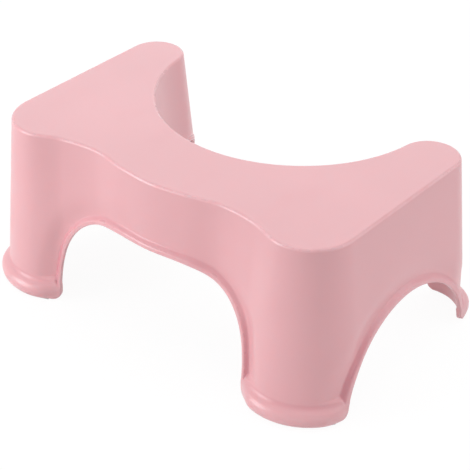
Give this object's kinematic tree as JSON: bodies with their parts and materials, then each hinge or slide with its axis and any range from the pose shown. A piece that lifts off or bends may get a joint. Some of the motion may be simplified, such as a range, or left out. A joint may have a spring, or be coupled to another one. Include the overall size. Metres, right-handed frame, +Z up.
{
  "type": "toilet footstool",
  "caption": "Low moulded footstool with a round bay that goes round the foot of a toilet, a wavy front edge, arched walls, bead-edged feet and anti-slip strips under them.",
  "frame": {"origin": "middle of the footprint at floor level, where the stool rests", "axes": "+X along the length to the right seen from the front, +Y towards the toilet (the open side of the bay), +Z up through the flat deck"},
  "size_m": [0.4082, 0.2664, 0.17],
  "materials": {
    "pink_plastic": "satin moulded polypropylene, coloured through",
    "strip_rubber": "matt soft rubber"
  },
  "bodies": {
    "root": {"stool_shell": "pink_plastic", "foot_strip_front_left": "strip_rubber", "foot_strip_front_right": "strip_rubber", "foot_strip_rear_left": "strip_rubber", "foot_strip_rear_right": "strip_rubber"}
  },
  "joints": []
}
